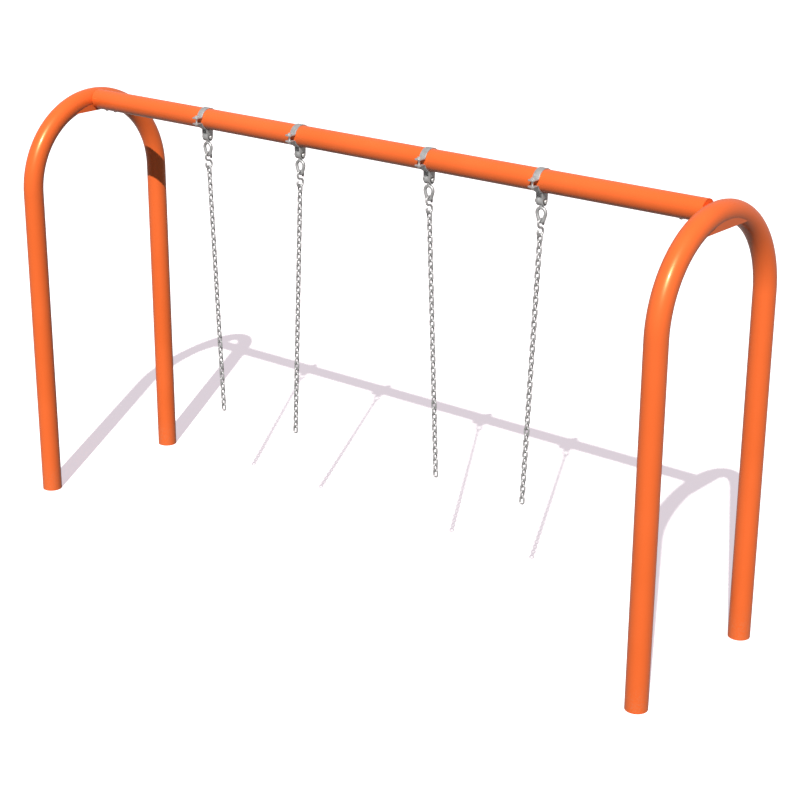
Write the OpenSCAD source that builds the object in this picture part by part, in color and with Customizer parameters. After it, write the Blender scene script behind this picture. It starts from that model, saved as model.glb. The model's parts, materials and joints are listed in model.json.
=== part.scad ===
// Two-bay swing frame: two bent-tube arches, a top rail, and four chains on clamp-on pivot hangers.
// The origin is on the ground under the middle of the rail: X runs along the rail, Y across the
// frame, Z up. Everything is in millimetres.

/* [Frame] */
// Outer diameter of the arch and rail tube
tube_od = 127; // [100:1:150]
// Wall of the arch and rail tube
tube_wall = 3.2; // [2.5:0.1:6]
// Distance between the planes of the two arches
frame_length = 4660; // [3900:10:6000]
// Distance between the centres of an arch's two legs, which its bend joins in a half circle
arch_width = 1080; // [800:10:1400]
// Height of the rail's axis, and of the top of each arch's centreline, above the ground
rail_height = 2585; // [2100:5:3200]

/* [Rail ends] */
// Gap between the rail's square end and the side of the arch
rail_end_gap = 1.5; // [0.5:0.1:5]
// Radial clearance between the rail's inside and the spigot's sleeve
spigot_clear = 0.4; // [0.2:0.1:1]
// How far the spigot's sleeve runs into the rail
spigot_length = 200; // [150:5:300]
// Wall of the spigot's sleeve
spigot_wall = 6; // [4:0.5:8]
// Thickness of the disc that closes the rail's end
spigot_disc = 10; // [6:1:16]
// Outer diameter of the hub that is welded to the arch
hub_od = 70; // [50:1:90]
// Wall of the hub
hub_wall = 8; // [5:1:12]
// Root gap between the hub and the arch, which the weld fills
weld_gap = 0.2; // [0.1:0.1:0.5]
// Diameter of the screws that lock the rail on its spigots
rail_screw_d = 12; // [10:1:16]

/* [Hangers] */
// Distance from the middle of the frame to the middle of each seat bay
bay_offset = 877; // [780:1:1100]
// Distance between the two hangers of a bay
hanger_spread = 774; // [640:1:900]
// How far all the hangers are clamped to the right of even spacing, or to the left when negative
hanger_shift = -15; // [-30:1:30]
// Distance between the two chain ends of a bay
seat_spread = 628; // [520:1:760]
// Width of the clamp band along the rail
clamp_w = 44; // [40:1:60]
// Thickness of the clamp band
clamp_t = 6; // [4:0.5:9]
// Clear space between the ears of the two clamp halves
clamp_split = 28; // [16:1:36]
// Thickness of the clamp ears
ear_t = 7; // [5:0.5:10]
// How far the ears stand out from the band
ear_reach = 44; // [36:1:60]
// Diameter of the clamp bolts
clamp_bolt_d = 12; // [10:1:16]
// Clear space between the two pivot lugs
lug_gap = 30; // [26:1:34]
// Radius of the round end of the lugs
lug_r = 25; // [24:1:34]
// How much wider a lug's half is at the band, and narrower at the pivot, than its round end
lug_taper = 2; // [1:0.5:4]
// Distance from the rail's axis down to the pivot
pivot_drop = 115; // [112:1:130]
// Diameter of the pivot bolts
pivot_d = 16; // [12:1:18]
// Radial running clearance of the bush on the pivot bolt
pivot_clear = 0.05; // [0.01:0.01:0.1]
// Radial clearance of bolts in the holes of the pieces that they clamp
bolt_clear = 0.3; // [0.1:0.1:0.6]

/* [Pendulums] */
// Wall of the bronze bush
bush_wall = 3; // [2:0.5:4]
// Outer diameter of the pendulum's barrel
barrel_od = 44; // [30:1:46]
// Clearance between the barrel and each lug
barrel_side = 0.5; // [0.3:0.1:1]
// Diameter of the bar that the pear-shaped eye is bent from
eye_bar = 20; // [14:0.5:21]
// Radius of the bar's centreline round the wide top of the eye
eye_top_r = 28; // [25:1:36]
// Radius of the bar's centreline round the narrow end of the eye
eye_end_r = 18; // [18:0.5:22]
// Length of the eye, from the centre of its wide top to the centre of its narrow end
eye_length = 32.5; // [28:0.5:60]
// Clearance between the eye and the round ends of the lugs
eye_clear = 1.5; // [1:0.5:6]

/* [S-hooks] */
// Diameter of the hook's bar
hook_bar = 14; // [10:0.5:14]
// Radius of the bar's centreline round each of the hook's two loops
hook_r = 24.5; // [22:0.5:30]
// Clear gap between each end of the hook and the loop beside it
hook_gap = 2; // [1:0.5:8]

/* [Chains] */
// Number of links in each chain
link_count = 45; // [30:1:50]
// Diameter of the link wire
link_wire = 10.5; // [8:0.5:11]
// Outer width of a link
link_w = 37; // [37:0.5:44]
// Inner length of a link
link_inner = 35.9; // [32:0.1:44]
// Free play between links, and between the eye, the hook and the first link
link_play = 0.3; // [0.2:0.1:0.6]

/* [Hidden] */
HANGERS = [1, 2, 3, 4];
$fn = 48;

PAINT = "orangered";
GALVANISED = "silver";
BOLT_STEEL = "gainsboro";
BRONZE = "peru";
SPARE = 1; // how far a cutter runs past what it cuts

// Frame
tube_r = tube_od / 2;
bend_r = arch_width / 2;
spring_z = rail_height - bend_r;
rail_half = frame_length / 2 - tube_r - rail_end_gap;
sleeve_r = tube_r - tube_wall - spigot_clear;
rail_screw_x = [for (share = [0.35, 0.75]) rail_half - share * spigot_length];

// Clamps
band_r = tube_r + clamp_t;
lug_t = (clamp_w - lug_gap) / 2;
ear_bolt_y = band_r + ear_reach / 2;
ear_chamfer = clamp_w / 5;
ear_top = clamp_split / 2 + ear_t;

// Bolts, nuts and washers, from the thread's diameter
function across_corners(d) = 1.5 * d * 2 / sqrt(3);
function nut_height(d) = 0.8 * d;
function head_height(d) = 0.65 * d;
function washer_r(d) = 1.05 * d;
washer_t = 2.5;
thread_clear = 0.1;
thread_end = 3; // length of thread that shows past the nut

// Pendulum, as distances below the rail's axis
bush_r = pivot_d / 2 + pivot_clear + bush_wall;
barrel_l = lug_gap - 2 * barrel_side;
eye_top_z = pivot_drop + lug_r + eye_clear + eye_bar / 2 + eye_top_r;
eye_end_z = eye_top_z + eye_length;
eye_slope = asin((eye_top_r - eye_end_r) / eye_length);
eye_straight = eye_length * cos(eye_slope);
side_lap = 1;
side_proud = 0.15;
neck_r = 0.6 * eye_bar;

// Hook and chain, as distances down the chain's line from the centre of the eye's narrow end
eye_bar_t = eye_end_r;
hook_top_t = eye_bar_t - (eye_bar + hook_bar) / 2 - link_play + hook_r;
hook_low_t = hook_top_t + 2 * hook_r;
hook_bar_t = hook_low_t + hook_r;
// Angle between the middle of the hook and each end, which keeps the end clear of the other loop
hook_open = 90 + asin((pow((hook_r + hook_bar + hook_gap) / hook_r, 2) - 5) / 4);
link_r = (link_w - link_wire) / 2;
link_pitch = link_inner - link_play;
link_straight = link_inner + link_wire - 2 * link_r;
first_link_t = hook_bar_t - (hook_bar + link_wire) / 2 - link_play;
chain_end_t = first_link_t + (link_count - 1) * link_pitch + link_inner + link_wire;
// The segments each end on an odd link, an even link and the last link but one
upper_last = 2 * floor(link_count / 6) + 1;
middle_last = 2 * round(link_count / 3);
lower_last = link_count - 1;
lean = asin((hanger_spread - seat_spread) / 2 / chain_end_t);

function hanger_x(i) =
    hanger_shift + (i < 3 ? -1 : 1) * bay_offset + (i % 2 == 1 ? -1 : 1) * hanger_spread / 2;
// Chains lean towards the middle of their bay
function lean_of(i) = (i % 2 == 1 ? -1 : 1) * lean;

// A round bar along X, centred
module bar_x(r, length) {
    rotate([0, 90, 0]) cylinder(r = r, h = length, center = true);
}

// Part of a ring of round bar in the plane of X and Z, counted from +X towards +Z
module ring_part(ring_r, bar_r, from, sweep) {
    rotate([90, 0, 0]) rotate([0, 0, from])
        rotate_extrude(angle = sweep) translate([ring_r, 0]) circle(r = bar_r);
}

module hex_nut(d) {
    difference() {
        cylinder(d = across_corners(d), h = nut_height(d), $fn = 6);
        translate([0, 0, -SPARE]) cylinder(d = d + 2 * thread_clear, h = nut_height(d) + 2 * SPARE);
    }
}

module washer(d) {
    difference() {
        cylinder(r = washer_r(d), h = washer_t);
        translate([0, 0, -SPARE]) cylinder(d = d + 2 * thread_clear, h = washer_t + 2 * SPARE);
    }
}

// ---- Frame ----

module arch_bar(r) {
    translate([0, 0, spring_z]) rotate([0, 0, 90]) ring_part(bend_r, r, 0, 180);
}

module arch() {
    color(PAINT) {
        translate([0, 0, spring_z]) rotate([90, 0, 90]) rotate_extrude(angle = 180)
            translate([bend_r, 0]) difference() {
                circle(r = tube_r);
                circle(r = tube_r - tube_wall);
            }
        for (side = [-1, 1])
            translate([0, side * bend_r, 0]) linear_extrude(height = spring_z) difference() {
                circle(r = tube_r);
                circle(r = tube_r - tube_wall);
            }
    }
}

module left_arch() {
    translate([-frame_length / 2, 0, 0]) arch();
}

module right_arch() {
    translate([frame_length / 2, 0, 0]) arch();
}

module rail_screw_holes(r) {
    for (side = [-1, 1], x = rail_screw_x)
        translate([side * x, 0, rail_height - tube_r - SPARE]) cylinder(r = r, h = tube_r);
}

module top_rail() {
    color(PAINT) difference() {
        translate([0, 0, rail_height]) bar_x(tube_r, 2 * rail_half);
        translate([0, 0, rail_height]) bar_x(tube_r - tube_wall, 2 * rail_half + 2 * SPARE);
        rail_screw_holes(rail_screw_d / 2 + bolt_clear);
    }
}

// A sleeve inside the rail, a disc flush with the rail's end, and a hub cut to fit the arch's side
module right_spigot() {
    hub_x = rail_half - spigot_disc;
    color(PAINT) difference() {
        union() {
            translate([rail_half - spigot_length / 2, 0, rail_height]) bar_x(sleeve_r, spigot_length);
            translate([(hub_x + frame_length / 2) / 2, 0, rail_height])
                bar_x(hub_od / 2, frame_length / 2 - hub_x);
        }
        translate([rail_half - spigot_disc - spigot_length / 2, 0, rail_height])
            bar_x(spigot_bore_r, spigot_length);
        translate([frame_length / 2, 0, rail_height]) bar_x(hub_od / 2 - hub_wall, frame_length / 2);
        translate([frame_length / 2, 0, 0]) arch_bar(tube_r + weld_gap);
        rail_screw_holes(rail_screw_d / 2 + bolt_clear);
    }
}

module left_spigot() {
    mirror([1, 0, 0]) right_spigot();
}

module at_rail_screws() {
    for (side = [-1, 1], x = rail_screw_x) translate([side * x, 0, rail_height]) children();
}

// How far a flat face of half-width w stands off the inside of a round wall of radius r
function stand_off(r, w) = r - sqrt(r * r - w * w);
spigot_bore_r = sleeve_r - spigot_wall;
rail_nut_z = stand_off(spigot_bore_r, across_corners(rail_screw_d) / 2) - spigot_bore_r;

// Screws with low round heads, from below, long enough to pass the nuts inside the spigots
module rail_screws() {
    head = head_height(rail_screw_d);
    color(BOLT_STEEL) at_rail_screws() translate([0, 0, -tube_r]) {
        cylinder(d = rail_screw_d, h = tube_r + rail_nut_z + nut_height(rail_screw_d) + thread_end);
        translate([0, 0, -head / 2]) cylinder(d = 2 * rail_screw_d, h = head / 2);
        translate([0, 0, -head]) cylinder(d1 = 1.4 * rail_screw_d, d2 = 2 * rail_screw_d, h = head / 2);
    }
}

module rail_nuts() {
    color(BOLT_STEEL) at_rail_screws() translate([0, 0, rail_nut_z]) hex_nut(rail_screw_d);
}

// ---- Clamps ----

module at_hanger(i) {
    translate([hanger_x(i), 0, rail_height]) children();
}

// Half a band with a bolt ear on each side, for the top of the rail
module clamp_half() {
    difference() {
        union() {
            bar_x(band_r, clamp_w);
            for (side = [-1, 1]) scale([1, side, 1])
                translate([0, 0, clamp_split / 2]) linear_extrude(height = ear_t) polygon([
                    [-clamp_w / 2, tube_r / 2], [clamp_w / 2, tube_r / 2],
                    [clamp_w / 2, band_r + ear_reach - ear_chamfer],
                    [clamp_w / 2 - ear_chamfer, band_r + ear_reach],
                    [-clamp_w / 2 + ear_chamfer, band_r + ear_reach],
                    [-clamp_w / 2, band_r + ear_reach - ear_chamfer]]);
        }
        bar_x(tube_r, clamp_w + 2 * SPARE);
        translate([-clamp_w / 2 - SPARE, -band_r - SPARE, -band_r - SPARE])
            cube([clamp_w + 2 * SPARE, 2 * (band_r + SPARE), band_r + SPARE + clamp_split / 2]);
        for (side = [-1, 1]) translate([0, side * ear_bolt_y, 0])
            cylinder(d = clamp_bolt_d + 2 * bolt_clear, h = ear_top + SPARE);
    }
}

module clamp_upper(i) {
    color(GALVANISED) at_hanger(i) clamp_half();
}

// The side view of a lug: straight sides into a round end about the pivot
module lug_outline() {
    circle(r = lug_r);
    top = pivot_drop - tube_r / 2;
    low_half = lug_r - lug_taper;
    top_half = lug_r + lug_taper;
    polygon([[-low_half, 0], [low_half, 0], [top_half, top], [-top_half, top]]);
}

module clamp_lower(i) {
    color(GALVANISED) at_hanger(i) {
        rotate([180, 0, 0]) clamp_half();
        difference() {
            for (side = [-1, 1])
                translate([side * (lug_gap + lug_t) / 2, 0, -pivot_drop])
                    rotate([90, 0, 90]) linear_extrude(height = lug_t, center = true) lug_outline();
            bar_x(tube_r + clamp_t / 2, clamp_w + 2 * SPARE);
            translate([0, 0, -pivot_drop]) bar_x(pivot_d / 2 + bolt_clear, clamp_w + 2 * SPARE);
        }
    }
}

module at_clamp_bolts() {
    for (i = HANGERS, side = [-1, 1]) at_hanger(i) translate([0, side * ear_bolt_y, 0]) children();
}

module clamp_bolts() {
    below = ear_top + washer_t + nut_height(clamp_bolt_d) + thread_end;
    color(BOLT_STEEL) at_clamp_bolts() {
        translate([0, 0, -below]) cylinder(d = clamp_bolt_d, h = below + ear_top + washer_t);
        translate([0, 0, ear_top + washer_t])
            cylinder(d = across_corners(clamp_bolt_d), h = head_height(clamp_bolt_d), $fn = 6);
    }
}

module clamp_washers() {
    color(BOLT_STEEL) at_clamp_bolts() {
        translate([0, 0, ear_top]) washer(clamp_bolt_d);
        translate([0, 0, -ear_top - washer_t]) washer(clamp_bolt_d);
    }
}

module clamp_nuts() {
    color(BOLT_STEEL) at_clamp_bolts()
        translate([0, 0, -ear_top - washer_t - nut_height(clamp_bolt_d)]) hex_nut(clamp_bolt_d);
}

// ---- Pivots ----

// Z points along +X here, from the outer face of the lug on the +X side
module at_pivots() {
    for (i = HANGERS) at_hanger(i) translate([clamp_w / 2, 0, -pivot_drop]) rotate([0, 90, 0]) children();
}

module pivot_bolts() {
    below = clamp_w + washer_t + nut_height(pivot_d) + thread_end;
    color(BOLT_STEEL) at_pivots() {
        translate([0, 0, -below]) cylinder(d = pivot_d, h = below + washer_t);
        translate([0, 0, washer_t]) cylinder(d = 1.6 * pivot_d, h = head_height(pivot_d) / 2);
        translate([0, 0, washer_t + head_height(pivot_d) / 2])
            cylinder(d1 = 1.6 * pivot_d, d2 = pivot_d, h = head_height(pivot_d) / 2);
    }
}

module pivot_washers() {
    color(BOLT_STEEL) at_pivots() {
        washer(pivot_d);
        translate([0, 0, -clamp_w - washer_t]) washer(pivot_d);
    }
}

module pivot_nuts() {
    color(BOLT_STEEL) at_pivots()
        translate([0, 0, -clamp_w - washer_t - nut_height(pivot_d)]) hex_nut(pivot_d);
}

module pivot_bush(i) {
    color(BRONZE) at_hanger(i) translate([0, 0, -pivot_drop]) difference() {
        bar_x(bush_r, barrel_l);
        bar_x(pivot_d / 2 + pivot_clear, barrel_l + 2 * SPARE);
    }
}

// ---- Pendulums ----

// A straight side of the eye, which runs on into both round ends and is a little thicker than they are
module eye_side() {
    translate([0, 0, -eye_top_z]) rotate([0, eye_slope, 0])
        translate([eye_top_r, 0, -eye_straight - side_lap])
            cylinder(r = eye_bar / 2 + side_proud, h = eye_straight + 2 * side_lap);
}

module pendulum(i) {
    color(GALVANISED) at_hanger(i) difference() {
        union() {
            translate([0, 0, -pivot_drop]) bar_x(barrel_od / 2, barrel_l);
            translate([0, 0, -eye_top_z + eye_top_r])
                cylinder(r = neck_r, h = eye_top_z - eye_top_r - pivot_drop);
            translate([0, 0, -eye_top_z])
                ring_part(eye_top_r, eye_bar / 2, -eye_slope, 180 + 2 * eye_slope);
            translate([0, 0, -eye_end_z])
                ring_part(eye_end_r, eye_bar / 2, 180 + eye_slope, 180 - 2 * eye_slope);
            eye_side();
            mirror([1, 0, 0]) eye_side();
        }
        translate([0, 0, -pivot_drop]) bar_x(bush_r, barrel_l + 2 * SPARE);
    }
}

// ---- Hooks and chains ----

// Z points up a chain's line here, from the centre of the narrow end of the pendulum's eye
module on_chain_line(i) {
    at_hanger(i) translate([0, 0, -eye_end_z]) rotate([0, lean_of(i), 0]) children();
}

// Two loops that turn opposite ways from the middle of the hook, in the plane of Y and Z
module s_hook(i) {
    color(GALVANISED) on_chain_line(i) rotate([0, 0, -90]) {
        translate([0, 0, -hook_top_t]) ring_part(hook_r, hook_bar / 2, -90, 360 - hook_open);
        translate([0, 0, -hook_low_t]) ring_part(hook_r, hook_bar / 2, 90, 360 - hook_open);
    }
}

// A link in the plane of X and Z, hanging from the centre of its top wire
module link() {
    translate([0, 0, -link_r]) ring_part(link_r, link_wire / 2, 0, 180);
    translate([0, 0, -link_r - link_straight]) ring_part(link_r, link_wire / 2, 180, 180);
    for (side = [-1, 1])
        translate([side * link_r, 0, -link_r - link_straight]) cylinder(d = link_wire, h = link_straight);
}

module links(i, first, last) {
    color(GALVANISED) on_chain_line(i) for (k = [first:last])
        translate([0, 0, -first_link_t - (k - 1) * link_pitch]) rotate([0, 0, k % 2 == 0 ? 90 : 0]) link();
}

module chain_upper(i) { links(i, 1, upper_last); }
module chain_middle(i) { links(i, upper_last + 1, middle_last); }
module chain_lower(i) { links(i, middle_last + 1, lower_last); }
module end_link(i) { links(i, link_count, link_count); }

left_arch();
right_arch();
top_rail();
left_spigot();
right_spigot();
rail_screws();
rail_nuts();
clamp_bolts();
clamp_washers();
clamp_nuts();
pivot_bolts();
pivot_washers();
pivot_nuts();
for (i = HANGERS) {
    clamp_upper(i);
    clamp_lower(i);
    pivot_bush(i);
    pendulum(i);
    s_hook(i);
    chain_upper(i);
    chain_middle(i);
    chain_lower(i);
    end_link(i);
}
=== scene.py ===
import json
import math

import bmesh
import bpy
import numpy as np
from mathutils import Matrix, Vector


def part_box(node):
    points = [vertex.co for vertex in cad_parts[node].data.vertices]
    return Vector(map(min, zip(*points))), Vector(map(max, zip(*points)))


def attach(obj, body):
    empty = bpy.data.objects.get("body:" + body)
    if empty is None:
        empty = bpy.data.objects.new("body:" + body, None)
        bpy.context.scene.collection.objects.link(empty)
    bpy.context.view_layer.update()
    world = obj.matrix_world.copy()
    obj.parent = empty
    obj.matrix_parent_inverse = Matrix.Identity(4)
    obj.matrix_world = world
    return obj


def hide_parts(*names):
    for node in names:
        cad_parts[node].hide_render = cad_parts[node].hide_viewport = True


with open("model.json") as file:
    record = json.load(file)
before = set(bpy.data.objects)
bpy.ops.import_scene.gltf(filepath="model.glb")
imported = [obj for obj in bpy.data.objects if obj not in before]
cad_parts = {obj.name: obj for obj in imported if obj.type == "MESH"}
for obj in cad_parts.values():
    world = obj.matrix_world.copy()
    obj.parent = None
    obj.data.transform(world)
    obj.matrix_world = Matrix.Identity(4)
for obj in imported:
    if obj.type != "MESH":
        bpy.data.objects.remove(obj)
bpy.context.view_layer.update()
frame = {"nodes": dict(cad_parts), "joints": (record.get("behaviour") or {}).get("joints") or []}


# ---- Camera ----------------------------------------------------------------------------------
# A long lens off the front right corner, at about twice head height. It looks down on the rail
# and along it, with all four feet in view.

camera = bpy.data.objects.new("camera", bpy.data.cameras.new("camera"))
bpy.context.scene.collection.objects.link(camera)
bpy.context.scene.camera = camera
camera.location = (6.8395, -8.0618, 4.9315)
camera.rotation_euler = (math.radians(90 - 20.05), 0, math.radians(40))
camera.data.lens = 83.7
camera.data.shift_x = 0.0315
camera.data.shift_y = -0.008
camera.data.clip_end = 200


# ---- Powder coat -----------------------------------------------------------------------------
# The arches, the rail and its spigots are blasted, primed and powder-coated orange in one go.
# The coat is thick and glossy, with a fine orange peel, dust near the ground and a few dull rubs.


class Field:
    """A number that changes over a surface. Sums on it add Math nodes."""

    def __init__(self, finish, socket):
        self.finish = finish
        self.socket = socket

    def math(self, operation, first, second):
        settings = {"operation": operation}
        made = self.finish.node("ShaderNodeMath", settings, {0: first, 1: second})
        return Field(self.finish, made[0])

    def __add__(self, other):
        return self.math("ADD", self, other)

    def __sub__(self, other):
        return self.math("SUBTRACT", self, other)

    def __rsub__(self, other):
        return self.math("SUBTRACT", other, self)

    def __mul__(self, other):
        return self.math("MULTIPLY", self, other)

    __radd__ = __add__
    __rmul__ = __mul__

    def rising(self, low, high):
        """0 where the number is under low, 1 where it is over high, and smooth between them."""
        settings = {"interpolation_type": "SMOOTHSTEP"}
        inputs = {"Value": self, "From Min": low, "From Max": high}
        return Field(self.finish, self.finish.node("ShaderNodeMapRange", settings, inputs)[0])

    def falling(self, low, high):
        return 1 - self.rising(low, high)


class Finish:
    """A material. Its fixed values go on the shader's own sockets, and set() adds its patterns."""

    def __init__(self, name, **fixed):
        self.material = bpy.data.materials.new(name)
        self.material.use_nodes = True
        self.tree = self.material.node_tree
        self.tree.nodes.clear()
        self.shader = self.tree.nodes.new("ShaderNodeBsdfPrincipled")
        for words, value in fixed.items():
            self.shader.inputs[words.replace("_", " ")].default_value = value
        self.output = self.tree.nodes.new("ShaderNodeOutputMaterial")
        self.connect(self.output.inputs["Surface"], self.shader.outputs[0])
        self.place = self.node("ShaderNodeTexCoord")["Object"]

    def node(self, kind, settings=None, inputs=None):
        """Adds a node and returns its outputs."""
        made = self.tree.nodes.new(kind)
        for name, value in (settings or {}).items():
            setattr(made, name, value)
        for name, value in (inputs or {}).items():
            self.connect(made.inputs[name], value)
        return made.outputs

    def connect(self, socket, value):
        if isinstance(value, Field):
            value = value.socket
        if isinstance(value, bpy.types.NodeSocket):
            self.tree.links.new(value, socket)
        else:
            socket.default_value = value

    def height(self):
        """How high above the ground a point is, in metres."""
        return Field(self, self.node("ShaderNodeSeparateXYZ", {}, {0: self.place})["Z"])

    def noise(self, scale, detail=2.0, roughness=0.5, stretch=(1, 1, 1)):
        """A cloudy pattern from about 0.3 to 0.7, with blots about 1 / scale metres across."""
        place = self.node("ShaderNodeMapping", {}, {"Vector": self.place, "Scale": stretch})[0]
        inputs = {"Vector": place, "Scale": scale, "Detail": detail, "Roughness": roughness}
        return Field(self, self.node("ShaderNodeTexNoise", {}, inputs)["Fac"])

    def crystals(self, scale):
        """A number from 0 to 1 for each of many small flat cells."""
        inputs = {"Vector": self.place, "Scale": scale}
        cell = self.node("ShaderNodeTexVoronoi", {}, inputs)["Color"]
        return Field(self, self.node("ShaderNodeSeparateColor", {}, {0: cell})["Red"])

    def attribute(self, name):
        return Field(self, self.node("ShaderNodeAttribute", {"attribute_name": name})["Fac"])

    def blend(self, mask, colour, over):
        """colour where mask is 0, and over where it is 1."""
        inputs = {0: mask, 6: colour, 7: over}
        return self.node("ShaderNodeMix", {"data_type": "RGBA"}, inputs)[2]

    def relief(self, height, depth, under=None):
        inputs = {"Height": height, "Distance": depth}
        if under is not None:
            inputs["Normal"] = under
        return self.node("ShaderNodeBump", {}, inputs)[0]

    def set(self, **patterns):
        for words, value in patterns.items():
            self.connect(self.shader.inputs[words.replace("_", " ")], value)
        return self


def powder_coat():
    coat = Finish(
        "powder_coat",
        Specular_IOR_Level=0.7,
        Specular_Tint=(1.0, 0.72, 0.36, 1.0),
        Coat_Roughness=0.12,
    )
    cloud = coat.noise(1.6, detail=3)
    peel = coat.noise(420, detail=1)
    grit = coat.noise(95, detail=4, roughness=0.7)
    rubs = coat.noise(26, detail=5, roughness=0.75, stretch=(1, 1, 0.25)).rising(0.66, 0.74)
    splash = (coat.height() + coat.noise(9, detail=4) * 0.22).falling(0.1, 0.36)
    dust = splash * grit.rising(0.42, 0.68) * 0.22
    colour = coat.blend(cloud.rising(0.35, 0.65), (0.88, 0.148, 0.029, 1), (0.93, 0.162, 0.036, 1))
    colour = coat.blend(rubs * 0.3, colour, (0.94, 0.26, 0.09, 1))
    colour = coat.blend(dust, colour, (0.55, 0.36, 0.23, 1))
    return coat.set(
        Base_Color=colour,
        Roughness=0.3 + cloud * 0.08 + rubs * 0.15 + dust * 0.5,
        Coat_Weight=0.1 - rubs * 0.08 - dust * 0.1,
        Normal=coat.relief(peel, 0.00012, coat.relief(grit, 0.00006)),
    ).material


PAINT = powder_coat()


# ---- Arches ----------------------------------------------------------------------------------
# Each arch is one length of 5 inch steel tube, with both its legs straight and its top bent
# through a half circle. It is cut square at the ground and drops into footings from above.


class Steps:
    """A Geometry Nodes tree: its named inputs, then its nodes in the order in which they work."""

    KINDS = {float: "Float", int: "Int", bool: "Bool", tuple: "Vector"}

    def __init__(self, name, **inputs):
        self.tree = bpy.data.node_groups.new(name, "GeometryNodeTree")
        self.socket("Geometry", "Geometry")
        for words, value in inputs.items():
            name = words.replace("_", " ")
            if isinstance(value, str):
                self.socket(name, value)
            else:
                self.socket(name, self.KINDS[type(value)]).default_value = value
        self.socket("Geometry", "Geometry", "OUTPUT")
        self.given = self.tree.nodes.new("NodeGroupInput").outputs

    def socket(self, name, kind, way="INPUT"):
        kind = "NodeSocket" + kind
        return self.tree.interface.new_socket(name, in_out=way, socket_type=kind)

    def node(self, kind, settings=None, inputs=None):
        """Adds a node and returns its outputs."""
        made = self.tree.nodes.new(kind)
        for name, value in (settings or {}).items():
            setattr(made, name, value)
        for name, value in (inputs or {}).items():
            if isinstance(value, bpy.types.NodeSocket):
                self.tree.links.new(value, made.inputs[name])
            else:
                made.inputs[name].default_value = value
        return made.outputs

    def sum(self, operation, *values):
        return self.node("ShaderNodeMath", {"operation": operation}, dict(enumerate(values)))[0]

    def finish(self, geometry):
        """Real geometry, in the material that the tree was given."""
        geometry = self.node("GeometryNodeRealizeInstances", {}, {0: geometry})[0]
        inputs = {"Geometry": geometry, "Material": self.given["Material"]}
        geometry = self.node("GeometryNodeSetMaterial", {}, inputs)[0]
        self.node("NodeGroupOutput", {}, {0: geometry})


def bar_along_path():
    """Rounds the corners of a line of points and runs a bar or an open tube along it."""
    steps = Steps(
        "bar_along_path",
        Bend_radius=0.0,
        Bend_steps=32,
        Step=0.0,
        Bar_radius=0.01,
        Sides=32,
        Round_ends=False,
        Material="Material",
    )
    given = steps.given
    path = steps.node("GeometryNodeMeshToCurve", {}, {0: given["Geometry"]})[0]
    bends = {"Curve": path, "Count": given["Bend steps"], "Radius": given["Bend radius"]}
    bends["Limit Radius"] = True
    path = steps.node("GeometryNodeFilletCurve", {"mode": "POLY"}, bends)[0]
    even = {"Curve": path, "Length": given["Step"]}
    even = steps.node("GeometryNodeResampleCurve", {"mode": "LENGTH"}, even)[0]
    above = {0: given["Step"], 1: 1e-6}
    has_step = steps.node("FunctionNodeCompare", {"operation": "GREATER_THAN"}, above)[0]
    switch = {"Switch": has_step, "False": path, "True": even}
    path = steps.node("GeometryNodeSwitch", {"input_type": "GEOMETRY"}, switch)[0]
    along = steps.node("GeometryNodeSplineParameter")["Length"]
    whole = steps.node("GeometryNodeSplineLength")["Length"]
    to_end = steps.sum("MINIMUM", along, steps.sum("SUBTRACT", whole, along))
    share = steps.sum("DIVIDE", to_end, given["Bar radius"])
    short = steps.sum("MAXIMUM", steps.sum("SUBTRACT", 1.0, share), 0.0)
    dome = steps.sum("SQRT", steps.sum("SUBTRACT", 1.0001, steps.sum("MULTIPLY", short, short)))
    radius = {"Switch": given["Round ends"], "False": 1.0, "True": dome}
    radius = steps.node("GeometryNodeSwitch", {"input_type": "FLOAT"}, radius)[0]
    path = steps.node("GeometryNodeSetCurveRadius", {}, {"Curve": path, "Radius": radius})[0]
    ring = {"Resolution": given["Sides"], "Radius": given["Bar radius"]}
    ring = steps.node("GeometryNodeCurvePrimitiveCircle", {}, ring)[0]
    sweep = {"Curve": path, "Profile Curve": ring, "Fill Caps": given["Round ends"]}
    steps.finish(steps.node("GeometryNodeCurveToMesh", {}, sweep)[0])
    return steps.tree


def mesh_piece(name, points, faces=(), edges=()):
    mesh = bpy.data.meshes.new(name)
    mesh.from_pydata([tuple(point) for point in points], list(edges), list(faces))
    piece = bpy.data.objects.new(name, mesh)
    bpy.context.scene.collection.objects.link(piece)
    return piece


def line_piece(name, points, closed=False):
    edges = [(i, i + 1) for i in range(len(points) - 1)]
    if closed:
        edges.append((len(points) - 1, 0))
    return mesh_piece(name, points, edges=edges)


def work(piece, tree, **values):
    """Puts a Geometry Nodes tree on a piece, with its named inputs set."""
    modifier = piece.modifiers.new(tree.name, "NODES")
    modifier.node_group = tree
    items = tree.interface.items_tree
    sockets = {item.name: item.identifier for item in items if item.in_out == "INPUT"}
    for words, value in values.items():
        modifier[sockets[words.replace("_", " ")]] = value
    return piece


def settle(piece, crease=38):
    """Makes a piece the mesh that its modifiers give, smooth but for edges over crease degrees."""
    bpy.context.view_layer.update()
    graph = bpy.context.evaluated_depsgraph_get()
    mesh = bpy.data.meshes.new_from_object(piece.evaluated_get(graph))
    piece.modifiers.clear()
    piece.data = mesh
    tidy = bmesh.new()
    tidy.from_mesh(mesh)
    bmesh.ops.remove_doubles(tidy, verts=tidy.verts, dist=1e-6)
    bmesh.ops.recalc_face_normals(tidy, faces=tidy.faces)
    tidy.to_mesh(mesh)
    tidy.free()
    mesh.shade_smooth()
    mesh.set_sharp_from_angle(angle=math.radians(crease))
    return piece


def fit(piece, body, slot, *nodes):
    """Says which body a piece rides on and hides the CAD nodes it stands for. The slot is not
    used.
    """
    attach(piece, body)
    if nodes:
        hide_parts(*nodes)
    return piece


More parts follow.
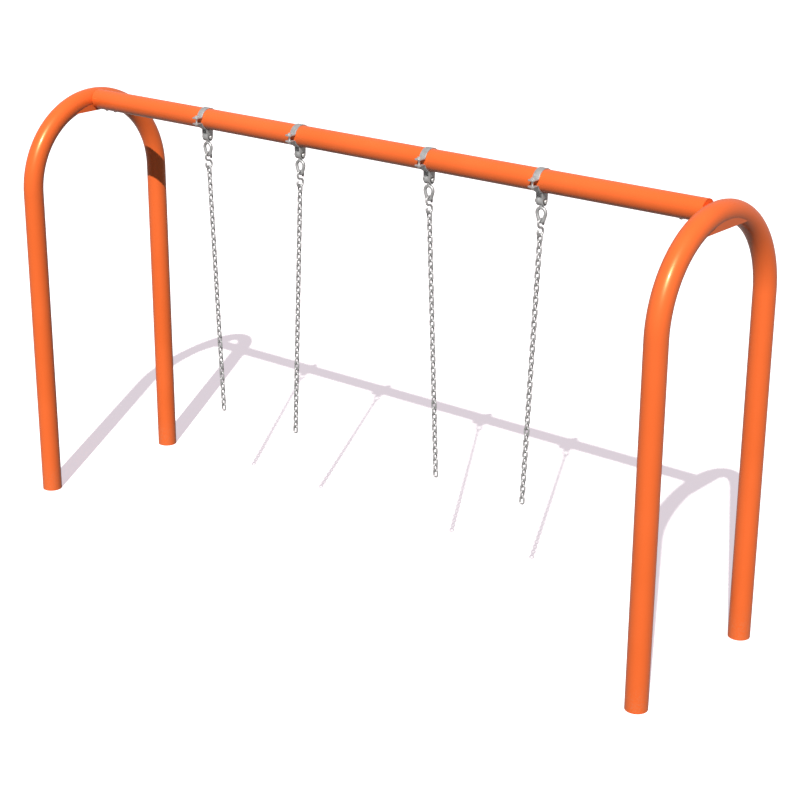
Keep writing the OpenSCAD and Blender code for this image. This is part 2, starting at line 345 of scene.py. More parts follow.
BAR = bar_along_path()
tube_wall = 0.0032
arch_low, arch_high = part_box("right_arch")
tube_r = (arch_high.x - arch_low.x) / 2
leg_y = arch_high.y - tube_r
arch_top = arch_high.z - tube_r


def tube(name, path, **bends):
    """An open tube along a path, with a real wall."""
    piece = work(line_piece(name, path), BAR, Bar_radius=tube_r, Sides=96, Material=PAINT, **bends)
    wall = piece.modifiers.new("wall", "SOLIDIFY")
    wall.thickness = tube_wall
    wall.offset = -1
    wall.use_even_offset = True
    return settle(piece)


for side in ("left", "right"):
    low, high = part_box(side + "_arch")
    x = (low.x + high.x) / 2
    corners = [(x, -leg_y, 0), (x, -leg_y, arch_top), (x, leg_y, arch_top), (x, leg_y, 0)]
    arch = tube(side + "_bent_tube", corners, Bend_radius=leg_y, Bend_steps=36)
    fit(arch, "frame", "frame_paint", side + "_arch")


# ---- Top rail --------------------------------------------------------------------------------
# A straight length of the same tube, cut square. Its ends close on the discs of two spigots,
# whose hubs are cut to the arches' round and welded to them with a rippled bead.

rail_low, rail_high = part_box("top_rail")
rail_z = (rail_low.z + rail_high.z) / 2
rail = tube("rail_tube", [(rail_low.x, 0, rail_z), (rail_high.x, 0, rail_z)])
fit(rail, "frame", "frame_paint", "top_rail")

for side in ("left", "right"):
    spigot = frame["nodes"][side + "_spigot"]
    spigot.data.materials.clear()
    spigot.data.materials.append(PAINT)


def weld_bead():
    """Runs a bead along a line of points, swelling and thinning as each puddle of weld froze."""
    steps = Steps(
        "weld_bead",
        Bead_radius=0.003,
        Ripple=0.12,
        Ripple_length=0.004,
        Material="Material",
    )
    given = steps.given
    path = steps.node("GeometryNodeMeshToCurve", {}, {0: given["Geometry"]})[0]
    quarter = steps.sum("DIVIDE", given["Ripple length"], 4.0)
    even = {"Curve": path, "Length": quarter}
    path = steps.node("GeometryNodeResampleCurve", {"mode": "LENGTH"}, even)[0]
    along = steps.node("GeometryNodeSplineParameter")["Length"]
    turns = steps.sum("DIVIDE", along, given["Ripple length"])
    wave = steps.sum("SINE", steps.sum("MULTIPLY", turns, 2 * math.pi))
    radius = steps.sum("ADD", 1.0, steps.sum("MULTIPLY", wave, given["Ripple"]))
    path = steps.node("GeometryNodeSetCurveRadius", {}, {"Curve": path, "Radius": radius})[0]
    ring = {"Resolution": 10, "Radius": given["Bead radius"]}
    ring = steps.node("GeometryNodeCurvePrimitiveCircle", {}, ring)[0]
    sweep = {"Curve": path, "Profile Curve": ring, "Fill Caps": True}
    steps.finish(steps.node("GeometryNodeCurveToMesh", {}, sweep)[0])
    return steps.tree


BEAD = weld_bead()
hub_r = 0.035
hub_bead_r = 0.0035
hub_seam_r = hub_r + hub_bead_r / 3
hub_seam_steps = 72


def hub_seam(arch_x, towards):
    """The line where the hub's round meets the arch's, on the side that faces the rail."""
    points = []
    for step in range(hub_seam_steps):
        angle = 2 * math.pi * step / hub_seam_steps
        y = hub_seam_r * math.cos(angle)
        z = hub_seam_r * math.sin(angle)
        off_bar = math.hypot(y, z + leg_y) - leg_y
        points.append((arch_x - towards * math.sqrt(tube_r**2 - off_bar**2), y, rail_z + z))
    return points


for side, towards in (("left", -1), ("right", 1)):
    low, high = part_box(side + "_arch")
    seam = line_piece(side + "_hub_weld", hub_seam((low.x + high.x) / 2, towards), closed=True)
    settle(work(seam, BEAD, Bead_radius=hub_bead_r, Material=PAINT), crease=80)
    fit(seam, "frame", "frame_paint")


# ---- Turned and hexagonal hardware -----------------------------------------------------------
# Zinc-plated steel screws, bolts, nuts and washers. Each is made once, about its own axis, and
# then set out at its places with a random turn, as fitters leave them.


def zinc_plate():
    zinc = Finish("zinc_plate", Metallic=0.62, Specular_IOR_Level=0.5)
    cloud = zinc.noise(60, detail=3)
    scratches = zinc.noise(900, detail=2, stretch=(1, 0.15, 0.15))
    stain = zinc.noise(140, detail=5, roughness=0.7).rising(0.56, 0.72)
    colour = zinc.blend(cloud.rising(0.35, 0.65), (0.78, 0.78, 0.76, 1), (0.62, 0.63, 0.64, 1))
    colour = zinc.blend(stain * 0.5, colour, (0.42, 0.41, 0.4, 1))
    return zinc.set(
        Base_Color=colour,
        Roughness=0.24 + cloud * 0.12 + stain * 0.25,
        Normal=zinc.relief(scratches, 0.00003),
    ).material


def skin(rings, closed=False, start=0):
    """The points and faces of a surface through rings of equally many points."""
    sides = len(rings[0])
    faces = []
    for ring in range(len(rings) if closed else len(rings) - 1):
        here = start + ring * sides
        there = start + (ring + 1) % len(rings) * sides
        for side in range(sides):
            beside = (side + 1) % sides
            faces.append((here + side, here + beside, there + beside, there + side))
    if not closed:
        faces.append(tuple(start + side for side in reversed(range(sides))))
        faces.append(tuple(start + (len(rings) - 1) * sides + side for side in range(sides)))
    return [tuple(point) for ring in rings for point in ring], faces


def turned(profile, sides=48):
    """A solid about Z. The profile's radii are numbers, or functions of the angle."""
    angles = [2 * math.pi * side / sides for side in range(sides)]
    rings = []
    for radius, height in profile:
        radii = [radius(angle) if callable(radius) else radius for angle in angles]
        heights = [height(angle) if callable(height) else height for angle in angles]
        points = zip(radii, angles, heights)
        rings.append([(r * math.cos(a), r * math.sin(a), h) for r, a, h in points])
    return rings


def hexagon(flats):
    """The radius of a hexagon as a function of the angle."""
    sixth = math.pi / 3
    return lambda angle: flats / 2 / math.cos((angle + sixth / 2) % sixth - sixth / 2)


def hex_solid(flats, height, bore_r=0):
    """A hexagon whose two ends are chamfered at 30 degrees, with a washer face's worth of flat."""
    corner = hexagon(flats)
    flat_r = 0.475 * flats
    slope = math.tan(math.radians(30))
    sides = [
        (flat_r, 0),
        (corner, lambda angle: (corner(angle) - flat_r) * slope),
        (corner, lambda angle: height - (corner(angle) - flat_r) * slope),
        (flat_r, height),
    ]
    if bore_r:
        sides += [(1.08 * bore_r, height), (bore_r, height - 0.08 * bore_r), (bore_r, 0)]
    return turned(sides)


def thread(radius, low, high, pitch):
    """The rings of a screw thread, whose crest climbs one pitch in each turn."""
    rings = []
    count = round((high - low) / pitch * 6)
    for ring in range(count + 1):
        height = low + (high - low) * ring / count

        def crest(angle, height=height):
            turn = (height / pitch - angle / (2 * math.pi)) % 1
            return radius - 0.5 * pitch * abs(2 * turn - 1)

        rings.append((crest, height))
    return rings


def washer_rings(inner_r, outer_r, thick):
    edge = 0.15 * thick
    return turned([
        (inner_r, 0), (outer_r - edge, 0), (outer_r, edge), (outer_r, thick - edge),
        (outer_r - edge, thick), (inner_r + edge, thick), (inner_r, thick - edge),
    ])


def solid(name, *parts):
    """One mesh of closed parts. A part is a list of rings, and True if its ends join."""
    points = []
    faces = []
    for rings, closed in parts:
        more_points, more_faces = skin(rings, closed, len(points))
        points += more_points
        faces += more_faces
    return mesh_piece(name, points, faces)


def set_out():
    """Puts copies of an item at a piece's points, turned to face and spun about their own axis."""
    steps = Steps(
        "set_out",
        Item="Object",
        Face=(0.0, 0.0, 0.0),
        Spin=0.0,
        Seed=7,
        Material="Material",
    )
    given = steps.given
    item = steps.node("GeometryNodeObjectInfo", {}, {"Object": given["Item"]})["Geometry"]
    spin = {2: 0.0, 3: given["Spin"], "Seed": given["Seed"]}
    spin = steps.node("FunctionNodeRandomValue", {"data_type": "FLOAT"}, spin)[1]
    own = steps.node("FunctionNodeAxisAngleToRotation", {}, {"Axis": (0, 0, 1), "Angle": spin})[0]
    face = steps.node("FunctionNodeEulerToRotation", {}, {0: given["Face"]})[0]
    turn = {"Rotation": face, "Rotate By": own}
    turn = steps.node("FunctionNodeRotateRotation", {"rotation_space": "LOCAL"}, turn)[0]
    copies = {"Points": given["Geometry"], "Instance": item, "Rotation": turn}
    steps.finish(steps.node("GeometryNodeInstanceOnPoints", {}, copies)[0])
    return steps.tree


ZINC = zinc_plate()
SET_OUT = set_out()
UPRIGHT = (0.0, 0.0, 0.0)
UPSIDE_DOWN = (math.pi, 0.0, 0.0)
ALONG_RAIL = (0.0, math.pi / 2, 0.0)


def set_out_piece(name, item, places, face, spin=2 * math.pi, seed=7, material=ZINC):
    piece = mesh_piece(name, places)
    work(piece, SET_OUT, Item=item, Face=face, Spin=spin, Seed=seed, Material=material)
    return settle(piece)


# ---- Rail screws -----------------------------------------------------------------------------
# Two button-head M12 screws at each end, put in from below where nobody sees them. They go
# through the rail and the spigot's sleeve into a nut inside, and stop the rail from turning.


def button_head(radius, height, socket_flats):
    """A low domed head with a hexagon socket, whose underside is at 0."""
    dome = [(radius * math.cos(a), height * (0.18 + 0.82 * math.sin(a)))
            for a in (math.pi / 2 * step / 8 for step in range(6))]
    socket = hexagon(socket_flats)
    top = dome[-1][1] + 0.1 * height
    return turned([
        (0.97 * radius, 0), (radius, 0.06 * height), *dome,
        (0.62 * socket_flats, top), (lambda a: 1.04 * socket(a), top),
        (socket, 0.96 * top), (socket, 0.4 * top),
    ])


screw_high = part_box("rail_screws")[1]
screw_head_r = 0.012
screw_head_h = 0.0075
screw_socket = 0.008
screw_spacing = 0.08
outer_x = screw_high.x - screw_head_r
screw_x = [side * x for side in (-1, 1) for x in (outer_x, outer_x - screw_spacing)]
screw_places = [(x, 0, rail_z - tube_r) for x in screw_x]
screw = solid("screw", (button_head(screw_head_r, screw_head_h, screw_socket), False))
rail_screws = set_out_piece("rail_screw_heads", screw, screw_places, UPSIDE_DOWN)
fit(rail_screws, "frame", "bolt_steel", "rail_screws")
bpy.data.objects.remove(screw)
frame["nodes"]["rail_nuts"].data.materials.clear()
frame["nodes"]["rail_nuts"].data.materials.append(ZINC)


# ---- Clamps ----------------------------------------------------------------------------------
# Each hanger is two pressed half bands of 6 mm steel round the rail, bent out into bolt ears.
# The lower half carries two lugs, cut from 7 mm plate and welded under it, then all is galvanised.


def galvanised_steel(name, rubbed=None):
    """Zinc with its spangle, its white bloom and, where a piece has it, its rubbed attribute."""
    zinc = Finish(name, Specular_IOR_Level=0.5)
    spangles = zinc.crystals(70)
    cloud = zinc.noise(18, detail=4)
    runs = zinc.noise(30, detail=3, stretch=(1, 1, 0.2))
    bloom = zinc.noise(48, detail=6, roughness=0.7).rising(0.55, 0.72)
    pits = zinc.noise(380, detail=3, roughness=0.6)
    shade = spangles * 0.45 + cloud.rising(0.3, 0.7) * 0.55
    colour = zinc.blend(shade, (0.4, 0.41, 0.415, 1), (0.54, 0.55, 0.56, 1))
    colour = zinc.blend(bloom * 0.35, colour, (0.6, 0.61, 0.6, 1))
    roughness = 0.36 + spangles * 0.14 + bloom * 0.2
    metal = 0.5 - bloom * 0.2
    if rubbed is not None:
        bare = zinc.attribute(rubbed).rising(0.1, 0.6)
        colour = zinc.blend(bare, colour, (0.62, 0.61, 0.6, 1))
        roughness = roughness - bare * 0.22
        metal = metal + bare * 0.45
    return zinc.set(
        Base_Color=colour,
        Metallic=metal,
        Roughness=roughness,
        Normal=zinc.relief(pits, 0.00008, zinc.relief(runs, 0.0002)),
    ).material


GALVANISED = galvanised_steel("galvanised_steel")
band_t = 0.006
band_w = 0.044
ear_t = 0.007
ear_z = 0.0175
ear_end_y = 0.1135
ear_bend_r = 0.009
corner_r = 0.0011
HANGERS = (1, 2, 3, 4)
hanger_x = {}
for hanger in HANGERS:
    low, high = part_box(f"clamp_upper_{hanger}")
    hanger_x[hanger] = (low.x + high.x) / 2
hanger_places = [(hanger_x[hanger], 0, rail_z) for hanger in HANGERS]


def half_band():
    """Stations from one ear's end over the tube: the middle's y and z, width and thickness."""
    band_r = tube_r + band_t / 2
    bend_z = ear_z + ear_bend_r
    bend_y = math.sqrt((band_r + ear_bend_r) ** 2 - bend_z**2)
    leaves = math.atan2(bend_z, bend_y)
    chamfer = band_w / 5
    stations = []
    for along in (0, 0.0003, 0.0008, 0.0016, 0.003, chamfer, 0.014, 0.025, ear_end_y - bend_y):
        width = band_w - 2 * max(0, chamfer - along)
        rounding = max(0, corner_r - along)
        thick = ear_t - 2 * (corner_r - math.sqrt(corner_r**2 - rounding**2))
        stations.append((ear_end_y - along, ear_z, width, thick))
    for step in range(1, 9):
        angle = -math.pi / 2 - (math.pi / 2 - leaves) * step / 8
        thick = ear_t + (band_t - ear_t) * step / 8
        place = (bend_y + ear_bend_r * math.cos(angle), bend_z + ear_bend_r * math.sin(angle))
        stations.append((*place, band_w, thick))
    for step in range(1, 25):
        angle = leaves + (math.pi / 2 - leaves) * step / 24
        stations.append((band_r * math.cos(angle), band_r * math.sin(angle), band_w, band_t))
    mirrored = [(-y, z, width, thick) for y, z, width, thick in stations[-2::-1]]
    return stations + mirrored


def strip(stations):
    """A strip in the plane of Y and Z, as wide along X as its stations say, with soft edges."""
    rings = []
    for index, (y, z, width, thick) in enumerate(stations):
        back = stations[max(index - 1, 0)]
        ahead = stations[min(index + 1, len(stations) - 1)]
        run = Vector((0, ahead[0] - back[0], ahead[1] - back[1])).normalized()
        out = Vector((1, 0, 0)).cross(run)
        ring = []
        for quarter, (side, face) in enumerate(((1, 1), (-1, 1), (-1, -1), (1, -1))):
            for step in range(4):
                angle = math.pi / 2 * (quarter + step / 3)
                x = side * (width / 2 - corner_r) + corner_r * math.cos(angle)
                off = face * (thick / 2 - corner_r) + corner_r * math.sin(angle)
                ring.append(Vector((x, y, z)) + out * off)
        rings.append(ring)
    return rings


def upside_down(rings):
    return [[(x, -y, -z) for x, y, z in ring] for ring in rings]


band_rings = strip(half_band())
band = solid("band", (band_rings, False))
steady = {"spin": 0.0, "material": GALVANISED}
upper = set_out_piece("clamp_tops", band, hanger_places, UPRIGHT, **steady)
fit(upper, "frame", "galvanised", *(f"clamp_upper_{hanger}" for hanger in HANGERS))
bpy.data.objects.remove(band)

joint_at = {joint["name"]: Vector(joint["pos_m"]) for joint in frame["joints"]}
pivot_z = rail_z - joint_at["swing_1"].z
lug_r = 0.025
lug_t = 0.007
lug_taper = 0.002
lug_x = band_w / 2 - lug_t / 2


def lug_outline(inset):
    """The side view of a lug: a round end about the pivot, and straight sides up to the band."""
    outline = []
    round_r = lug_r - inset
    for step in range(33):
        angle = math.pi + math.pi * step / 32
        outline.append((round_r * math.cos(angle), -pivot_z + round_r * math.sin(angle)))
    top_half = lug_r + lug_taper - inset
    arc_r = tube_r + band_t / 2
    low_angle = math.acos(top_half / arc_r)
    for step in range(9):
        angle = low_angle + (math.pi - 2 * low_angle) * step / 8
        outline.append((arc_r * math.cos(angle), -arc_r * math.sin(angle)))
    return outline


def plate(x, thick):
    """A lug's plate across X, with rounded edges."""
    rings = []
    for face in (-1, 1):
        steps = [(corner_r * (1 - math.sin(a)), corner_r * (1 - math.cos(a)))
                 for a in (math.pi / 2 * step / 3 for step in range(4))]
        for inset, depth in steps if face < 0 else reversed(steps):
            place = x + face * (thick / 2 - depth)
            rings.append([(place, y, z) for y, z in lug_outline(inset)])
    return rings


lower = solid(
    "lower_clamp",
    (upside_down(band_rings), False),
    (plate(-lug_x, lug_t), False),
    (plate(lug_x, lug_t), False),
)
lowers = set_out_piece("clamp_bottoms", lower, hanger_places, UPRIGHT, **steady)
fit(lowers, "frame", "galvanised", *(f"clamp_lower_{hanger}" for hanger in HANGERS))
bpy.data.objects.remove(lower)


lug_bead_r = 0.0022
lug_seam_inset = 0.0008
lug_seam_wrap = 0.002


def lug_seam(hanger, side):
    """Along a lug's inner face under the band, and round both its edges."""
    seam_r = tube_r + band_t + lug_seam_inset
    half = lug_r + lug_taper - lug_seam_inset
    inner = side * (lug_x - lug_t / 2)
    outer = side * (lug_x + lug_t / 2 - lug_seam_wrap)
    points = []
    for y in np.linspace(-half, half, 25):
        points.append((inner, y, -math.sqrt(seam_r**2 - y**2)))
    start = (outer, *points[0][1:])
    end = (outer, *points[-1][1:])
    points = [start, *points, end]
    return [(hanger_x[hanger] + x, y, rail_z + z) for x, y, z in points]


for hanger in HANGERS:
    for side, word in ((-1, "left"), (1, "right")):
        seam = line_piece(f"lug_weld_{word}_{hanger}", lug_seam(hanger, side))
        settle(work(seam, BEAD, Bead_radius=lug_bead_r, Material=GALVANISED), crease=80)
        fit(seam, "frame", "galvanised")


# ---- Clamp bolts -----------------------------------------------------------------------------
# An M12 hexagon bolt through each pair of ears, head up, with a washer under its head and
# another under its nut. About two threads show below the nut.

bolt_y = 0.0915
ear_top = ear_z + ear_t / 2
washer_t = 0.0025
ear_washer_r = 0.0126
past_nut = 0.003
m12 = {"thread_r": 0.006, "flats": 0.018, "head": 0.0078, "nut": 0.0096, "pitch": 0.00175}
bolt_end = ear_top + washer_t + m12["nut"] + past_nut
ears = [(x, side * bolt_y, z) for x, y, z in hanger_places for side in (-1, 1)]


def raised(places, height):
    return [(x, y, z + height) for x, y, z in places]


def shank(radius, low, high, thread_from, pitch):
    """A bolt's shank from high to a chamfered end at low, threaded below thread_from."""
    threads = thread(radius, low + 0.6 * pitch, thread_from, pitch)
    return turned([(0.78 * radius, low), *threads, (radius, thread_from), (radius, high)])


head_z = ear_top + washer_t
bolt_head = [raised(ring, head_z) for ring in hex_solid(m12["flats"], m12["head"])]
bolt_shank = shank(m12["thread_r"], -bolt_end, head_z, -ear_top, m12["pitch"])
bolt = solid("bolt", (bolt_head, False), (bolt_shank, False))
fit(set_out_piece("ear_bolts", bolt, ears, UPRIGHT, seed=3), "frame", "bolt_steel", "clamp_bolts")
bpy.data.objects.remove(bolt)

nut = solid("nut", (hex_solid(m12["flats"], m12["nut"], m12["thread_r"]), True))
below = raised(ears, -ear_top - washer_t - m12["nut"])
fit(set_out_piece("ear_nuts", nut, below, UPRIGHT, seed=5), "frame", "bolt_steel", "clamp_nuts")
bpy.data.objects.remove(nut)

washer = solid("washer", (washer_rings(m12["thread_r"] * 1.02, ear_washer_r, washer_t), True))
under = raised(ears, ear_top) + raised(ears, -ear_top - washer_t)
fit(set_out_piece("ear_washers", washer, under, UPRIGHT), "frame", "bolt_steel", "clamp_washers")
bpy.data.objects.remove(washer)


# ---- Pivot bolts -----------------------------------------------------------------------------
# A 16 mm shoulder bolt along the rail through both lugs and the bush. Its tamper-proof button
# head is on the right-hand side, and a full nut and washer close it on the left.

pivot_r = 0.008
pivot_pitch = 0.002
pivot_nut_flats = 0.024
pivot_nut_h = 0.0128
pivot_head_h = 0.0104
pivot_socket = 0.01
pivot_washer_r = 0.0168
outer_lug = band_w / 2
pivots = [(x, 0, rail_z - pivot_z) for x, y, z in hanger_places]


def along_x(places, shift):
    return [(x + shift, y, z) for x, y, z in places]


def painted_shade_black_steel():
    """The pivot washers: near black, as a painted shade ring round each pivot pin's head and
    nut, with a faint cloud of grease.
    """
    black = Finish("painted_shade_black_steel", Metallic=0.4)
    grease = black.noise(160, detail=3)
    colour = black.blend(grease.rising(0.4, 0.6), (0.03, 0.028, 0.026, 1), (0.06, 0.056, 0.05, 1))
    return black.set(Base_Color=colour, Roughness=0.32 + grease * 0.3).material


pin_seat = outer_lug + washer_t
pin_head = button_head(1.6 * pivot_r, pivot_head_h, pivot_socket)
pin_head = [raised(ring, pin_seat) for ring in pin_head]
pin_low = -outer_lug - washer_t - pivot_nut_h - past_nut
pin_shank = shank(pivot_r, pin_low, pin_seat, -pin_seat, pivot_pitch)
pin = solid("pin", (pin_head, False), (pin_shank, False))
pins = set_out_piece("pivot_pins", pin, pivots, ALONG_RAIL, seed=2)
fit(pins, "frame", "bolt_steel", "pivot_bolts")
bpy.data.objects.remove(pin)

nut = solid("pivot_nut", (hex_solid(pivot_nut_flats, pivot_nut_h, pivot_r), True))
left_end = along_x(pivots, -outer_lug - washer_t - pivot_nut_h)
pin_nuts = set_out_piece("pivot_pin_nuts", nut, left_end, ALONG_RAIL, seed=9)
fit(pin_nuts, "frame", "bolt_steel", "pivot_nuts")
bpy.data.objects.remove(nut)

washer = solid("pivot_washer", (washer_rings(pivot_r * 1.02, pivot_washer_r, washer_t), True))
both_ends = along_x(pivots, outer_lug) + along_x(pivots, -outer_lug - washer_t)
# The pivot washers are near black: a painted shade ring round each pivot pin's head and nut.
PAINTED_SHADE_BLACK = painted_shade_black_steel()
pin_washers = set_out_piece("pivot_pin_washers", washer, both_ends, ALONG_RAIL, material=PAINTED_SHADE_BLACK)
fit(pin_washers, "frame", "bolt_steel", "pivot_washers")
bpy.data.objects.remove(washer)


# ---- Pivot bushes ----------------------------------------------------------------------------
# A sintered bronze bush is pressed into each pendulum's barrel and runs on the pivot bolt. Only
# its end rings show, in the half millimetre between barrel and lugs, dark with oil.


def oiled_bronze():
    bronze = Finish("oiled_bronze", Metallic=1.0)
    grain = bronze.noise(1400, detail=2)
    oil = bronze.noise(90, detail=3).rising(0.4, 0.6)
    colour = bronze.blend(oil, (0.52, 0.33, 0.14, 1), (0.24, 0.15, 0.07, 1))
    return bronze.set(
        Base_Color=colour,
        Roughness=0.45 - oil * 0.15,
        Normal=bronze.relief(grain, 0.00003),
    ).material


BRONZE = oiled_bronze()
for hanger in HANGERS:
    bush = frame["nodes"][f"pivot_bush_{hanger}"]
    bush.data.materials.clear()
    bush.data.materials.append(BRONZE)


# ---- Pendulums -------------------------------------------------------------------------------
# A drop forging: a barrel round the bush, a short neck, and a pear-shaped eye of 20 mm bar below
# it. Its parts flow into each other with the soft corners of a forging, and then it is galvanised.

bush_r = 0.01105
barrel_r = 0.022
barrel_half = 0.0145
eye_bar_r = 0.01
eye_top_r = 0.028
eye_end_r = 0.018
eye_length = 0.0325
eye_end_z = (rail_z - joint_at["hook_rock_1"].z) - eye_end_r
eye_top_z = eye_end_z - eye_length
neck_low_r = 0.0124
neck_top_r = 0.012
forging_voxel = 0.0009


def eye_path():
    """The pear: a wide round top, a narrow round end, and two straight sides that touch both."""
    slope = math.asin((eye_top_r - eye_end_r) / eye_length)
    points = []
    for step in range(41):
        angle = -slope + (math.pi + 2 * slope) * step / 40
        points.append((eye_top_r * math.cos(angle), 0, -eye_top_z + eye_top_r * math.sin(angle)))
    for step in range(21):
        angle = math.pi + slope + (math.pi - 2 * slope) * step / 20
        points.append((eye_end_r * math.cos(angle), 0, -eye_end_z + eye_end_r * math.sin(angle)))
    return points


def forging():
    """One pendulum on the rail's axis, melted together by a fine remesh."""
    eye = line_piece("eye", eye_path(), closed=True)
    settle(work(eye, BAR, Bar_radius=eye_bar_r, Sides=32, Material=GALVANISED))
    profile = [
        (bush_r, -barrel_half), (barrel_r, -barrel_half),
        (barrel_r, barrel_half), (bush_r, barrel_half),
    ]
    barrel = [[(z, y, -pivot_z - x) for x, y, z in ring] for ring in turned(profile)]
    neck_top = -pivot_z - (bush_r + barrel_r) / 2
    neck_low = -eye_top_z + eye_top_r - eye_bar_r / 2
    neck = turned([(neck_low_r, neck_low), (neck_top_r, neck_top)])
    body = solid("pendulum", (barrel, True), (neck, False))
    both = bmesh.new()
    both.from_mesh(eye.data)
    both.from_mesh(body.data)
    bmesh.ops.recalc_face_normals(both, faces=both.faces)
    both.to_mesh(body.data)
    both.free()
    bpy.data.objects.remove(eye)
    melt = body.modifiers.new("melt", "REMESH")
    melt.mode = "VOXEL"
    melt.voxel_size = forging_voxel
    soften = body.modifiers.new("soften", "SMOOTH")
    soften.factor = 0.5
    soften.iterations = 9
    settle(body, crease=180)
    body.data.materials.clear()
    body.data.materials.append(GALVANISED)
    return body


first_pendulum = forging()
for hanger in HANGERS:
    pendulum = first_pendulum.copy()
    pendulum.data = first_pendulum.data.copy()
    pendulum.name = f"forged_pendulum_{hanger}"
    bpy.context.scene.collection.objects.link(pendulum)
    for vertex in pendulum.data.vertices:
        vertex.co += Vector((hanger_x[hanger], 0, rail_z))
    fit(pendulum, f"pendulum_{hanger}", "galvanised", f"pendulum_{hanger}")
bpy.data.objects.remove(first_pendulum)


# ---- S-hooks ---------------------------------------------------------------------------------
# A 14 mm bar bent into two loops that turn opposite ways, one through the pendulum's eye and
# one through the chain, and squeezed until each end nearly touches the other loop.

hook_bar_r = 0.007
hook_r = 0.0245
hook_gap = 0.002


def hook_path():
    """From one end round the upper loop, through the middle, round the lower loop: Y and Z."""
    reach = (hook_r + 2 * hook_bar_r + hook_gap) / hook_r
    sweep = math.radians(270) - math.asin((reach**2 - 5) / 4)
    points = []
    for step in range(49):
        angle = -math.pi / 2 + sweep * (1 - step / 48)
        points.append((hook_r * math.cos(angle), hook_r * math.sin(angle)))
    for step in range(1, 49):
        angle = math.pi / 2 + sweep * step / 48
        points.append((hook_r * math.cos(angle), -2 * hook_r + hook_r * math.sin(angle)))
    return points


def down_line(hanger):
    """A chain's straight line: the middle of the hook's lower bar, and the direction down."""
    start = joint_at[f"chain_sway_{hanger}"]
    down = (joint_at[f"end_link_turn_{hanger}"] - start).normalized()
    return start, down


for hanger in HANGERS:
    low_bar, down = down_line(hanger)
    upper_centre = low_bar - down * 3 * hook_r
    path = [upper_centre + Vector((0, -across, 0)) - down * along for across, along in hook_path()]
    hook = line_piece(f"bent_s_hook_{hanger}", path)
    work(
        hook,
        BAR,
        Step=0.0012,
        Bar_radius=hook_bar_r,
        Sides=20,
        Round_ends=True,
        Material=GALVANISED,
    )
    fit(settle(hook), f"s_hook_{hanger}", "galvanised", f"s_hook_{hanger}")


# ---- Chains ----------------------------------------------------------------------------------
# Straight-link chain of 10.5 mm wire, each link turned a quarter from the next. Every link is
# welded on one side, hot-dip galvanised, and rubbed bright where it bears on its neighbours.

wire_r = 0.00525
wire_sides = 10
link_r = 0.01325
link_inner = 0.0359
link_play = 0.0003
pitch = link_inner - link_play
link_low = link_inner + 2 * wire_r


def link_rings():
    """One link, its top wire's middle at 0, and how much each of its points is rubbed."""
    straight = link_low - 2 * link_r

    def half_round(middle, start, steps=10):
        for step in range(steps + 1):
            angle = start + math.pi * step / steps
            yield link_r * math.cos(angle), middle + link_r * math.sin(angle), angle, 1.0

    stations = list(half_round(-link_r, 0.0))
    weld = ((0.35, 1.0), (0.42, 1.02), (0.46, 1.13), (0.54, 1.13), (0.58, 1.02), (0.65, 1.0))
    for share, swell in weld:
        stations.append((-link_r, -link_r - straight * share, math.pi, swell))
    stations += half_round(-link_r - straight, math.pi)
    rings = []
    rubbed = []
    for x, z, angle, swell in stations:
        ring = []
        for side in range(wire_sides):
            turn = 2 * math.pi * side / wire_sides
            out = wire_r * swell * math.cos(turn)
            across = wire_r * swell * math.sin(turn)
            ring.append((x + out * math.cos(angle), across, z + out * math.sin(angle)))
            rubbed.append(max(0.0, -math.cos(turn)) * abs(math.sin(angle)) ** 3)
        rings.append(ring)
    return rings, rubbed


def chain_run():
    """Hangs copies of a link one below the other, each turned a quarter from the one above."""
    steps = Steps(
        "chain_run",
        Links=15,
        Top=(0.0, 0.0, 0.0),
        Pitch=(0.0, 0.0, -0.03),
        Lean=0.0,
        First_link=1,
        Material="Material",
    )
    given = steps.given
    line = {"Count": given["Links"], "Start Location": given["Top"], "Offset": given["Pitch"]}
    line = steps.node("GeometryNodeMeshLine", {"mode": "OFFSET"}, line)[0]
    number = steps.sum("ADD", steps.node("GeometryNodeInputIndex")[0], given["First link"])
    even = steps.sum("MODULO", steps.sum("ADD", number, 1.0), 2.0)
    quarter = {"Axis": (0, 0, 1), "Angle": steps.sum("MULTIPLY", even, math.pi / 2)}
    quarter = steps.node("FunctionNodeAxisAngleToRotation", {}, quarter)[0]
    lean = {"Axis": (0, 1, 0), "Angle": given["Lean"]}
    lean = steps.node("FunctionNodeAxisAngleToRotation", {}, lean)[0]
    turn = {"Rotation": lean, "Rotate By": quarter}
    turn = steps.node("FunctionNodeRotateRotation", {"rotation_space": "LOCAL"}, turn)[0]
    copies = {"Points": line, "Instance": given["Geometry"], "Rotation": turn}
    steps.finish(steps.node("GeometryNodeInstanceOnPoints", {}, copies)[0])
    return steps.tree


CHAIN_RUN = chain_run()
CHAIN_STEEL = galvanised_steel("chain_steel", rubbed="rubbed")
RUNS = (("chain_upper", 15), ("chain_middle", 15), ("chain_lower", 14), ("end_link", 1))
rings, rubbed = link_rings()
for hanger in HANGERS:
    low_bar, down = down_line(hanger)
    first_top = low_bar - down * (hook_bar_r + wire_r + link_play)
    lean = math.atan2(-down.x, -down.z)
    first = 1
    for name, count in RUNS:
        run = solid(f"{name}_links_{hanger}", (rings, True))
        bright = run.data.attributes.new("rubbed", "FLOAT", "POINT")
        bright.data.foreach_set("value", rubbed)
        top = first_top + down * pitch * (first - 1)
        work(
            run,
            CHAIN_RUN,
            Links=count,
            Top=tuple(top),
            Pitch=tuple(down * pitch),
            Lean=lean,
            First_link=first,
            Material=CHAIN_STEEL,
        )
        fit(settle(run, crease=180), f"{name}_{hanger}", "galvanised", f"{name}_{hanger}")
        first += count


# ---- Ground and light ------------------------------------------------------------------------
# A plain pale floor that glows to the camera and throws little light back on the tubes. A hard
# sun stands over the front right corner, and a pale sky, white to the camera, fills the shadows.

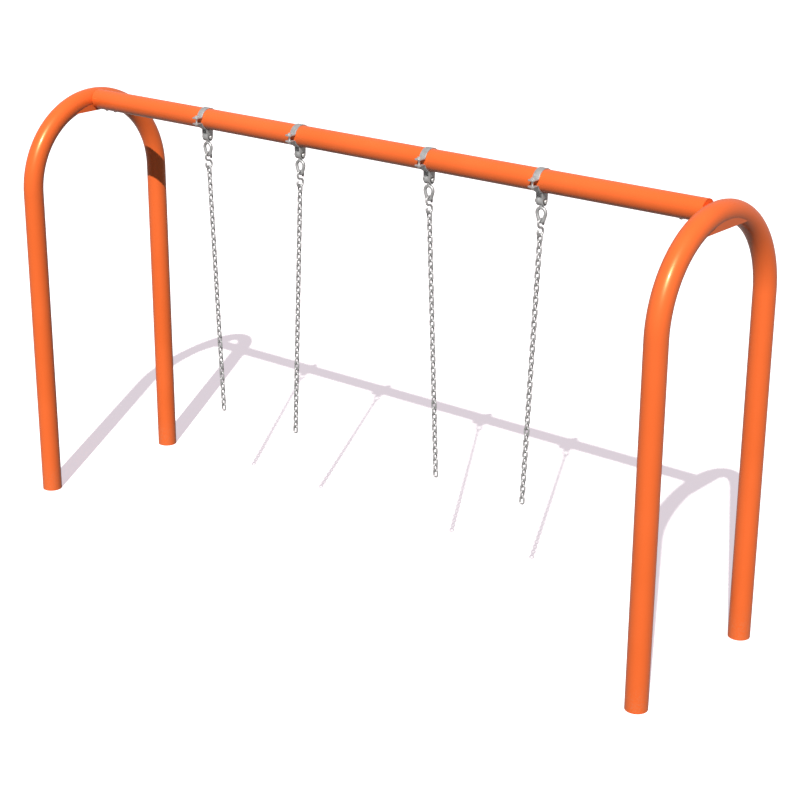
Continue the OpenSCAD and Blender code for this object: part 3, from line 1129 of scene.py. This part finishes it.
far = 150
corners = [(-far, -far, 0), (far, -far, 0), (far, far, 0), (-far, far, 0)]
ground = mesh_piece("ground", corners, [(0, 1, 2, 3)])
floor = Finish("pale_floor", Roughness=0.95, Specular_IOR_Level=0.0)
speckle = floor.noise(0.8, detail=2)
floor.set(Base_Color=floor.blend(speckle, (0.9, 0.9, 0.9, 1), (0.92, 0.92, 0.92, 1)))
floor.shader.inputs["Emission Color"].default_value = (1.0, 0.89, 0.985, 1)
floor.shader.inputs["Emission Strength"].default_value = 0.56
ray = floor.node("ShaderNodeLightPath")
grey = {"Value": ray["Is Glossy Ray"], "To Min": 0.04, "To Max": 0.45}
grey = floor.node("ShaderNodeMapRange", {}, grey)[0]
dim = floor.node("ShaderNodeBsdfDiffuse", {}, {"Color": grey})[0]
both = {0: ray["Is Camera Ray"], 1: dim, 2: floor.shader.outputs[0]}
both = floor.node("ShaderNodeMixShader", {}, both)[0]
floor.tree.links.new(both, floor.output.inputs["Surface"])
ground.data.materials.append(floor.material)

sun = bpy.data.objects.new("sun", bpy.data.lights.new("sun", "SUN"))
bpy.context.scene.collection.objects.link(sun)
sun.data.energy = 4.35
sun.data.color = (1.0, 0.98, 0.94)
sun.data.angle = math.radians(0.6)
sun.location = (0, 0, 6)
sun.rotation_euler = Vector((-0.526, 0.925, -1)).to_track_quat("-Z", "Y").to_euler()

sky = bpy.data.worlds.new("sky")
sky.use_nodes = True
nodes = sky.node_tree.nodes
links = sky.node_tree.links
nodes["Background"].inputs["Color"].default_value = (1.0, 0.93, 0.95, 1)
white = nodes.new("ShaderNodeBackground")
white.inputs["Color"].default_value = (1.0, 0.99, 1.0, 1)
ray = nodes.new("ShaderNodeLightPath").outputs
strength = nodes.new("ShaderNodeMapRange")
strength.inputs["To Min"].default_value = 0.5
strength.inputs["To Max"].default_value = 0.17
links.new(ray["Is Diffuse Ray"], strength.inputs["Value"])
links.new(strength.outputs[0], nodes["Background"].inputs["Strength"])
either = nodes.new("ShaderNodeMixShader")
links.new(ray["Is Camera Ray"], either.inputs[0])
links.new(nodes["Background"].outputs[0], either.inputs[1])
links.new(white.outputs[0], either.inputs[2])
links.new(either.outputs[0], nodes["World Output"].inputs["Surface"])
bpy.context.scene.world = sky
bpy.context.scene.view_settings.view_transform = "Standard"
bpy.context.scene.view_settings.look = "None"
